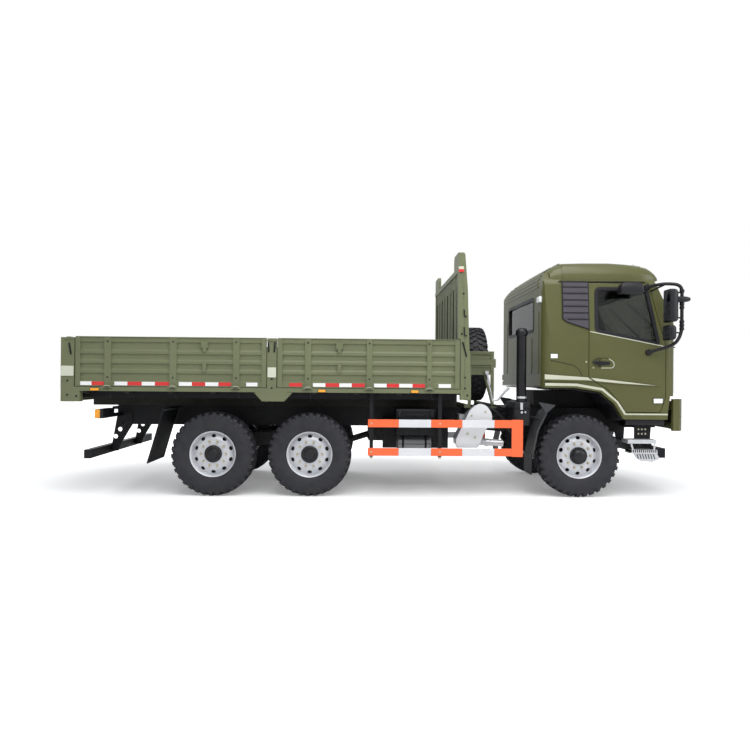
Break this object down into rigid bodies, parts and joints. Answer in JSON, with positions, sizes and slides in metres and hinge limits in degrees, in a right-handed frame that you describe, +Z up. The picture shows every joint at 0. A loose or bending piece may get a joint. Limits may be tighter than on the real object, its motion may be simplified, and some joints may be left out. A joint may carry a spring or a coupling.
{
  "type": "three-axle military cargo truck",
  "caption": "Military cargo truck with a tilting cab, a drop-side cargo bed, an upright spare wheel behind the cab and single wheels on three axles.",
  "frame": {"origin": "on the ground under the middle of the truck's box", "axes": "+X forward, +Y to the truck's left, +Z up"},
  "size_m": [8.09, 2.97, 3.181],
  "materials": {
    "cab_paint": "matt olive enamel",
    "bed_paint": "matt grey-green enamel",
    "chassis_black": "satin black chassis paint",
    "black_plastic": "grained black moulding",
    "tyre": "worn rubber",
    "rim_silver": "silver rim paint",
    "cast_dark": "oily cast iron",
    "bare_aluminium": "brushed sheet",
    "lamp_lens": "moulded lens",
    "window_glass": "clear tinted glass",
    "seat_fabric": "woven seat cloth",
    "guard_stripe": "striped gloss paint",
    "floor_board": "sealed plywood"
  },
  "bodies": {
    "chassis": {"chassis_frame": "chassis_black", "powertrain": "cast_dark", "front_axle": "chassis_black", "rear_axles": "chassis_black", "springs": "chassis_black", "bed_floor": "floor_board", "bed_frame": "bed_paint", "headboard": "bed_paint", "bumper": "cab_paint", "lamps": "lamp_lens", "cab_steps": "chassis_black", "side_guards": "guard_stripe", "battery_box": "chassis_black", "air_tanks": "chassis_black", "fuel_tank": "chassis_black", "silencer": "bare_aluminium", "rear_underrun": "chassis_black", "mudguards": "black_plastic", "snorkel": "black_plastic", "spare_tyre": "tyre", "spare_rim": "rim_silver", "spare_carrier": "bed_paint", "tow_hitch": "chassis_black", "tow_eyes": "chassis_black"},
    "cab": {"cab_shell": "cab_paint", "cab_roof": "cab_paint", "cab_glass": "window_glass", "cab_louvres": "black_plastic", "dashboard": "black_plastic", "seats": "seat_fabric"},
    "door_right": {"door_right": "cab_paint", "door_glass_right": "window_glass", "mirror_right": "black_plastic"},
    "door_left": {"door_left": "cab_paint", "door_glass_left": "window_glass", "mirror_left": "black_plastic"},
    "grille_flap": {"grille_flap": "cab_paint"},
    "steering_wheel": {"steering_wheel": "black_plastic"},
    "knuckle_right": {"knuckle_right": "chassis_black"},
    "knuckle_left": {"knuckle_left": "chassis_black"},
    "tie_rod": {"tie_rod": "chassis_black"},
    "board_rear_right": {"board_rear_right": "bed_paint"},
    "board_rear_left": {"board_rear_left": "bed_paint"},
    "board_front_right": {"board_front_right": "bed_paint"},
    "board_front_left": {"board_front_left": "bed_paint"},
    "tailgate": {"tailgate": "bed_paint"},
    "wheel_front_right": {"rim_front_right": "rim_silver", "tyre_front_right": "tyre"},
    "wheel_front_left": {"rim_front_left": "rim_silver", "tyre_front_left": "tyre"},
    "wheel_middle_right": {"rim_middle_right": "rim_silver", "tyre_middle_right": "tyre"},
    "wheel_middle_left": {"rim_middle_left": "rim_silver", "tyre_middle_left": "tyre"},
    "wheel_rear_right": {"rim_rear_right": "rim_silver", "tyre_rear_right": "tyre"},
    "wheel_rear_left": {"rim_rear_left": "rim_silver", "tyre_rear_left": "tyre"}
  },
  "joints": [
    {"name": "cab_tilt", "type": "hinge", "parent": "chassis", "child": "cab", "pos_m": [3.938, 0, 1.205], "axis": [0, 1, 0], "range_deg": [0, 50]},
    {"name": "door_right_swing", "type": "hinge", "parent": "cab", "child": "door_right", "pos_m": [3.737, -1.182, 1.9], "axis": [0, 0, 1], "range_deg": [0, 65]},
    {"name": "door_left_swing", "type": "hinge", "parent": "cab", "child": "door_left", "pos_m": [3.737, 1.182, 1.9], "axis": [0, 0, -1], "range_deg": [0, 65]},
    {"name": "grille_flap_lift", "type": "hinge", "parent": "cab", "child": "grille_flap", "pos_m": [4.002, 0, 1.963], "axis": [0, -1, 0], "range_deg": [0, 75]},
    {"name": "steering_wheel_turn", "type": "hinge", "parent": "cab", "child": "steering_wheel", "pos_m": [3.44, 0.6, 1.99], "axis": [-0.8211, 0, 0.5708], "range_deg": [-540, 540]},
    {"name": "knuckle_left_turn", "type": "hinge", "parent": "chassis", "child": "knuckle_left", "pos_m": [2.628, 0.85, 0.5425], "axis": [0, 0, 1], "range_deg": [-30, 30]},
    {"name": "knuckle_right_turn", "type": "hinge", "parent": "chassis", "child": "knuckle_right", "pos_m": [2.628, -0.85, 0.5425], "axis": [0, 0, 1], "range_deg": [-30, 30]},
    {"name": "tie_rod_turn", "type": "hinge", "parent": "knuckle_left", "child": "tie_rod", "pos_m": [2.878, 0.8, 0.5], "axis": [0, 0, 1], "range_deg": [-30, 30]},
    {"name": "board_rear_right_drop", "type": "hinge", "parent": "chassis", "child": "board_rear_right", "pos_m": [-2.6575, -1.252, 1.401], "axis": [1, 0, 0], "range_deg": [0, 178]},
    {"name": "board_front_right_drop", "type": "hinge", "parent": "chassis", "child": "board_front_right", "pos_m": [-0.14, -1.252, 1.401], "axis": [1, 0, 0], "range_deg": [0, 178]},
    {"name": "board_rear_left_drop", "type": "hinge", "parent": "chassis", "child": "board_rear_left", "pos_m": [-2.6575, 1.252, 1.401], "axis": [-1, 0, 0], "range_deg": [0, 178]},
    {"name": "board_front_left_drop", "type": "hinge", "parent": "chassis", "child": "board_front_left", "pos_m": [-0.14, 1.252, 1.401], "axis": [-1, 0, 0], "range_deg": [0, 178]},
    {"name": "tailgate_drop", "type": "hinge", "parent": "chassis", "child": "tailgate", "pos_m": [-4.03, 0, 1.392], "axis": [0, -1, 0], "range_deg": [0, 178]},
    {"name": "wheel_front_right_spin", "type": "hinge", "parent": "knuckle_right", "child": "wheel_front_right", "pos_m": [2.628, -0.98, 0.5425], "axis": [0, 1, 0], "continuous": true},
    {"name": "wheel_front_left_spin", "type": "hinge", "parent": "knuckle_left", "child": "wheel_front_left", "pos_m": [2.628, 0.98, 0.5425], "axis": [0, 1, 0], "continuous": true},
    {"name": "wheel_middle_right_spin", "type": "hinge", "parent": "chassis", "child": "wheel_middle_right", "pos_m": [-0.902, -0.98, 0.5425], "axis": [0, 1, 0], "continuous": true},
    {"name": "wheel_middle_left_spin", "type": "hinge", "parent": "chassis", "child": "wheel_middle_left", "pos_m": [-0.902, 0.98, 0.5425], "axis": [0, 1, 0], "continuous": true},
    {"name": "wheel_rear_right_spin", "type": "hinge", "parent": "chassis", "child": "wheel_rear_right", "pos_m": [-2.152, -0.98, 0.5425], "axis": [0, 1, 0], "continuous": true},
    {"name": "wheel_rear_left_spin", "type": "hinge", "parent": "chassis", "child": "wheel_rear_left", "pos_m": [-2.152, 0.98, 0.5425], "axis": [0, 1, 0], "continuous": true}
  ],
  "couplings": [
    {"joint": "knuckle_right_turn", "follows": "knuckle_left_turn", "ratio": 1},
    {"joint": "tie_rod_turn", "follows": "knuckle_left_turn", "ratio": -1},
    {"joint": "steering_wheel_turn", "follows": "knuckle_left_turn", "ratio": 18}
  ]
}
